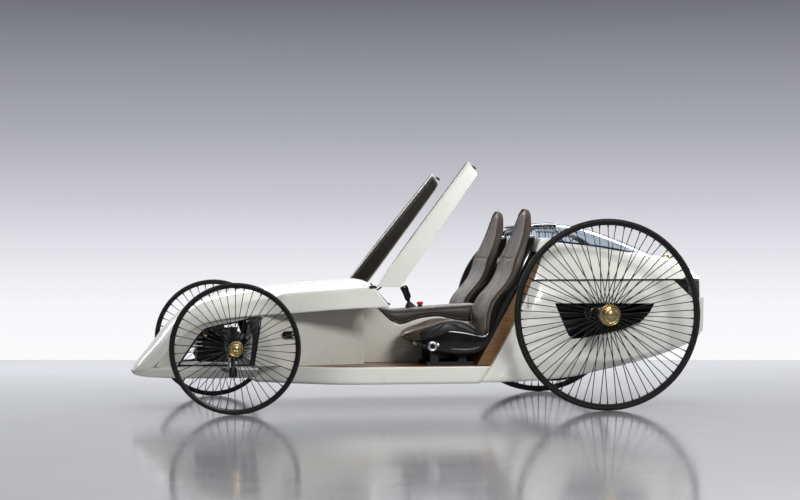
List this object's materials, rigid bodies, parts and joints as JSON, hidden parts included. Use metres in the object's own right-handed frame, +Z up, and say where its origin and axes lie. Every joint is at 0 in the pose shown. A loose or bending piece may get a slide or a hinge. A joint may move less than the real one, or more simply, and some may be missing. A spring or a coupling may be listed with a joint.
{
  "type": "open concept car with wire wheels",
  "caption": "Open two-seat car with slender wire wheels, plank floor, bucket seats, glass tail canopy and raised beam doors.",
  "frame": {"origin": "bottom centre of the bounding box, on the ground", "axes": "+X to the tail, +Y to the car's right-hand side, +Z up"},
  "size_m": [3.735, 1.942, 1.5574],
  "materials": {
    "body_white": "pearl gloss",
    "black_trim": "satin",
    "black_gloss": "gloss",
    "red_plastic": "satin",
    "dark_metal": "satin",
    "satin_silver": "satin",
    "brown_leather": "semi matte",
    "oiled_wood": "oiled planks",
    "tinted_glass": "clear blue",
    "polished_brass": "polished",
    "tyre_rubber": "matt",
    "black_steel": "satin"
  },
  "bodies": {
    "chassis": {"nose_shell": "body_white", "chin_beam": "body_white", "window_frames": "black_trim", "front_subframe": "dark_metal", "front_arms": "dark_metal", "front_dampers": "satin_silver", "cowl": "body_white", "fuselage": "body_white", "charge_ports": "black_trim", "dash_panel": "brown_leather", "tunnel": "body_white", "console_pad": "brown_leather", "joystick": "black_trim", "stop_button": "red_plastic", "floor_tub": "body_white", "wood_deck": "oiled_wood", "wood_bulkhead": "oiled_wood", "seat_shell_left": "black_gloss", "seat_shell_right": "black_gloss", "seat_cushion_left": "brown_leather", "seat_cushion_right": "brown_leather", "seat_back_left": "brown_leather", "seat_back_right": "brown_leather", "seat_knobs": "satin_silver", "seat_rails": "dark_metal", "rear_body": "body_white", "rear_deck": "body_white", "canopy_glass": "tinted_glass", "canopy_hoop": "black_trim", "tail_lamp": "polished_brass", "tail_panel": "black_trim", "rear_axle": "dark_metal", "axle_rings": "satin_silver", "door_hinges": "dark_metal", "power_unit": "black_trim"},
    "steer_left": {"knuckle_left": "dark_metal"},
    "door_left": {"door_skin_left": "body_white", "door_pad_left": "brown_leather"},
    "steer_right": {"knuckle_right": "dark_metal"},
    "door_right": {"door_skin_right": "body_white", "door_pad_right": "brown_leather"},
    "wheel_front_left": {"tyre_front_left": "tyre_rubber", "wire_wheel_front_left": "black_steel", "hub_front_left": "polished_brass"},
    "wheel_front_right": {"tyre_front_right": "tyre_rubber", "wire_wheel_front_right": "black_steel", "hub_front_right": "polished_brass"},
    "wheel_rear_left": {"tyre_rear_left": "tyre_rubber", "wire_wheel_rear_left": "black_steel", "hub_rear_left": "polished_brass"},
    "wheel_rear_right": {"tyre_rear_right": "tyre_rubber", "wire_wheel_rear_right": "black_steel", "hub_rear_right": "polished_brass"}
  },
  "joints": [
    {"name": "steer_left", "type": "hinge", "parent": "chassis", "child": "steer_left", "pos_m": [-1.2825, -0.69, 0.402], "axis": [0, 0, 1], "range_deg": [-28, 28]},
    {"name": "front_left_wheel_spin", "type": "hinge", "parent": "steer_left", "child": "wheel_front_left", "pos_m": [-1.2825, -0.845, 0.402], "axis": [0, 1, 0], "continuous": true},
    {"name": "rear_left_wheel_spin", "type": "hinge", "parent": "chassis", "child": "wheel_rear_left", "pos_m": [1.0435, -0.905, 0.6], "axis": [0, 1, 0], "continuous": true},
    {"name": "steer_right", "type": "hinge", "parent": "chassis", "child": "steer_right", "pos_m": [-1.2825, 0.69, 0.402], "axis": [0, 0, 1], "range_deg": [-28, 28]},
    {"name": "front_right_wheel_spin", "type": "hinge", "parent": "steer_right", "child": "wheel_front_right", "pos_m": [-1.2825, 0.845, 0.402], "axis": [0, 1, 0], "continuous": true},
    {"name": "rear_right_wheel_spin", "type": "hinge", "parent": "chassis", "child": "wheel_rear_right", "pos_m": [1.0435, 0.905, 0.6], "axis": [0, 1, 0], "continuous": true},
    {"name": "door_left_hinge", "type": "hinge", "parent": "chassis", "child": "door_left", "pos_m": [-0.3895, 0, 0.772], "axis": [0, 1, 0], "range_deg": [0, 53.5]},
    {"name": "door_right_hinge", "type": "hinge", "parent": "chassis", "child": "door_right", "pos_m": [-0.3895, 0, 0.772], "axis": [0, 1, 0], "range_deg": [0, 51.5]}
  ],
  "couplings": [
    {"joint": "steer_right", "follows": "steer_left", "ratio": 1}
  ]
}
